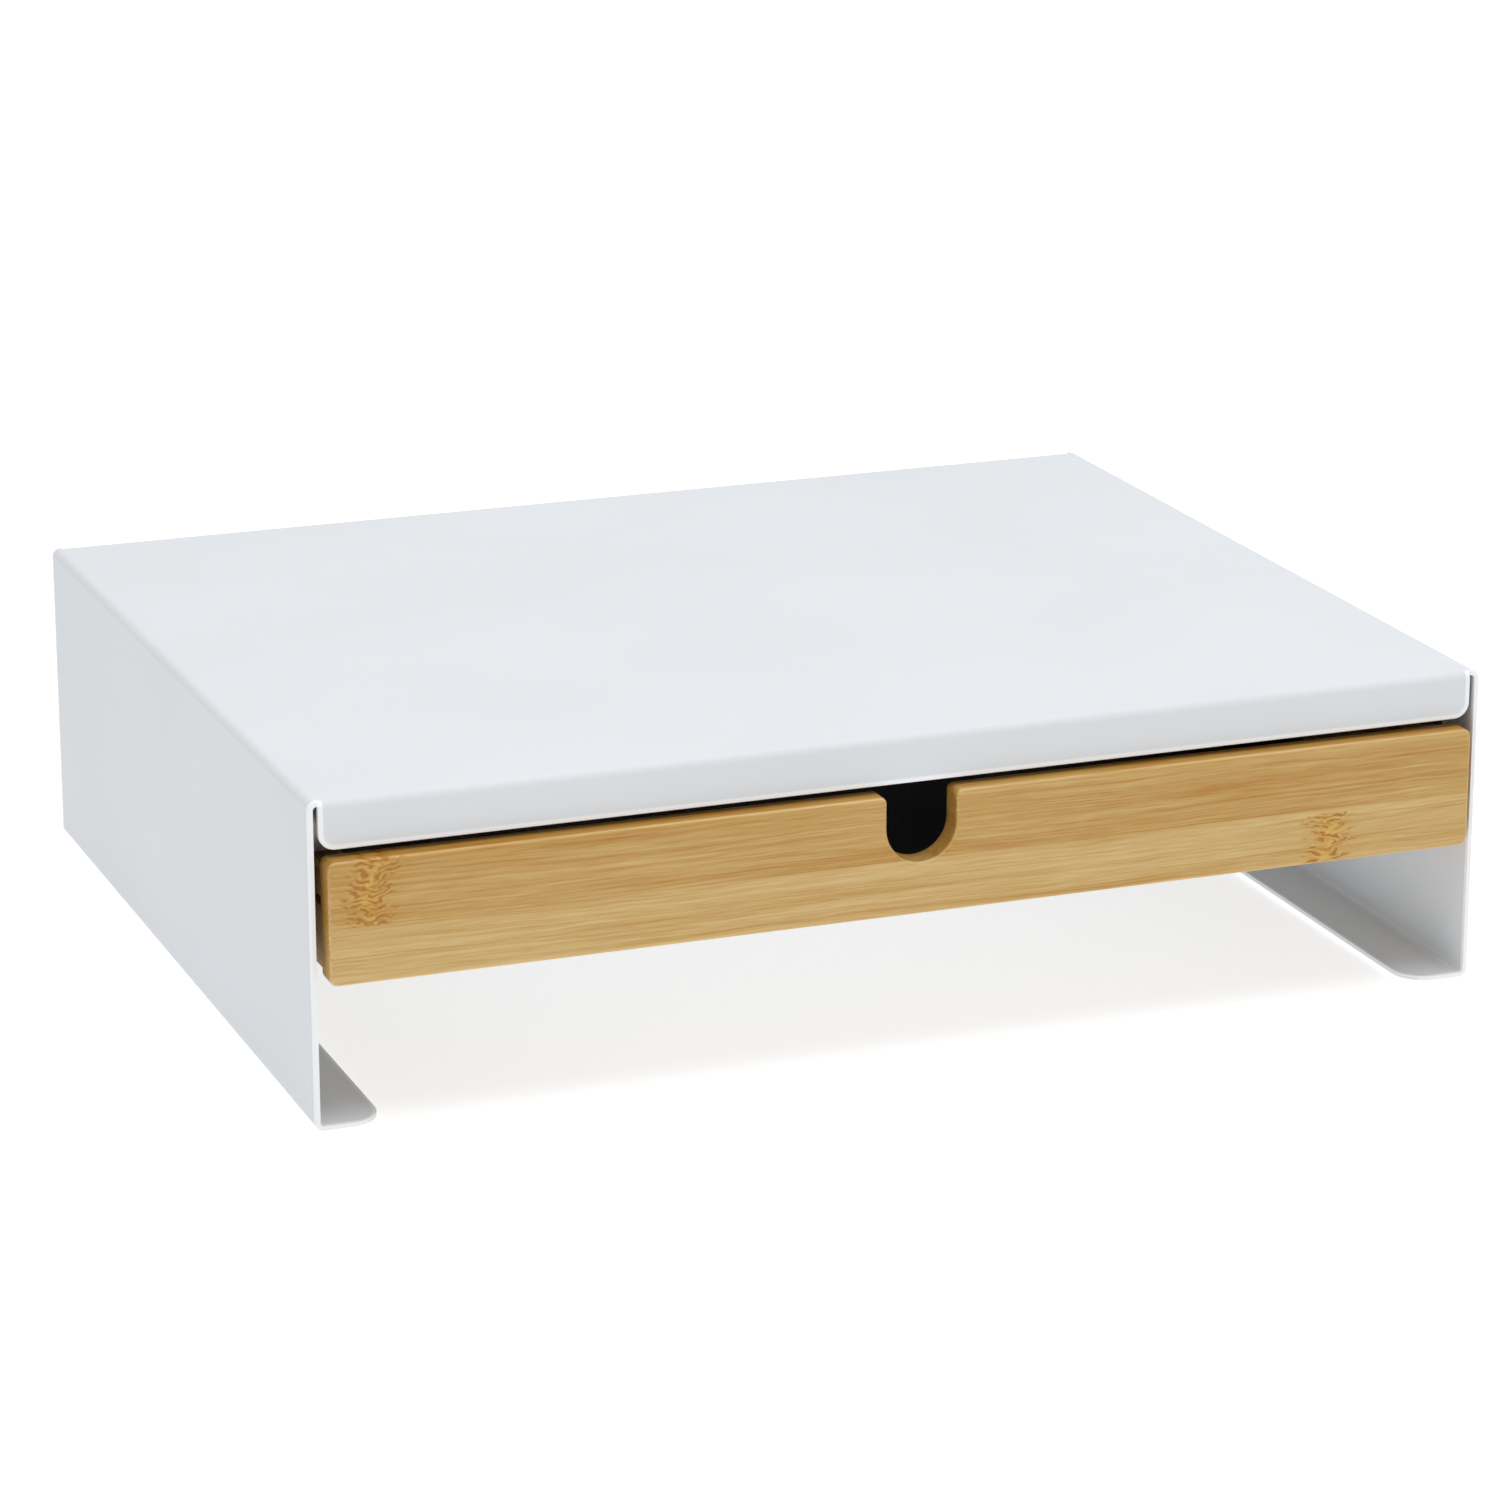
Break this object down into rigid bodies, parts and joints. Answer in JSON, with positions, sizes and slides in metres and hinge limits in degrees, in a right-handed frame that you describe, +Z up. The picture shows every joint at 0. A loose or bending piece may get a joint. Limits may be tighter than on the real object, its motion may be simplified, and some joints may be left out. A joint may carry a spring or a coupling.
{
  "type": "monitor stand with drawer",
  "caption": "Bent sheet steel desk stand with inward foot flanges and a bamboo drawer that slides out from under its top by a finger slot.",
  "frame": {"origin": "middle of the space that the stand and its shut drawer take up, on the surface it stands on", "axes": "+X to the right as one faces the drawer, along the width; the drawer opens towards -Y; +Z up"},
  "size_m": [0.375, 0.3044, 0.1015],
  "materials": {
    "white_powder_coat": "fine satin powder coat",
    "zinc_steel": "zinc plated",
    "bamboo": "clear satin lacquer",
    "black_board": "matt black faced board",
    "black_plastic": "matt",
    "grey_rubber": "matt"
  },
  "bodies": {
    "stand": {"steel_stand": "white_powder_coat", "left_runner": "zinc_steel", "right_runner": "zinc_steel", "runner_studs": "zinc_steel", "runner_washers": "zinc_steel", "runner_nuts": "zinc_steel", "left_glide_strip": "black_plastic", "right_glide_strip": "black_plastic", "left_bumper": "grey_rubber", "right_bumper": "grey_rubber", "front_left_foot": "grey_rubber", "front_right_foot": "grey_rubber", "rear_left_foot": "grey_rubber", "rear_right_foot": "grey_rubber"},
    "drawer": {"drawer_front": "bamboo", "drawer_left_side": "bamboo", "drawer_right_side": "bamboo", "drawer_back": "bamboo", "drawer_bottom": "black_board", "drawer_front_dowels": "bamboo", "drawer_back_screws": "zinc_steel", "drawer_bottom_screws": "zinc_steel", "left_stop_block": "black_plastic", "right_stop_block": "black_plastic", "left_block_screw": "zinc_steel", "right_block_screw": "zinc_steel"}
  },
  "joints": [
    {"name": "drawer_slide", "type": "slide", "parent": "stand", "child": "drawer", "axis": [0, -1, 0], "range_m": [0, 0.2]}
  ]
}
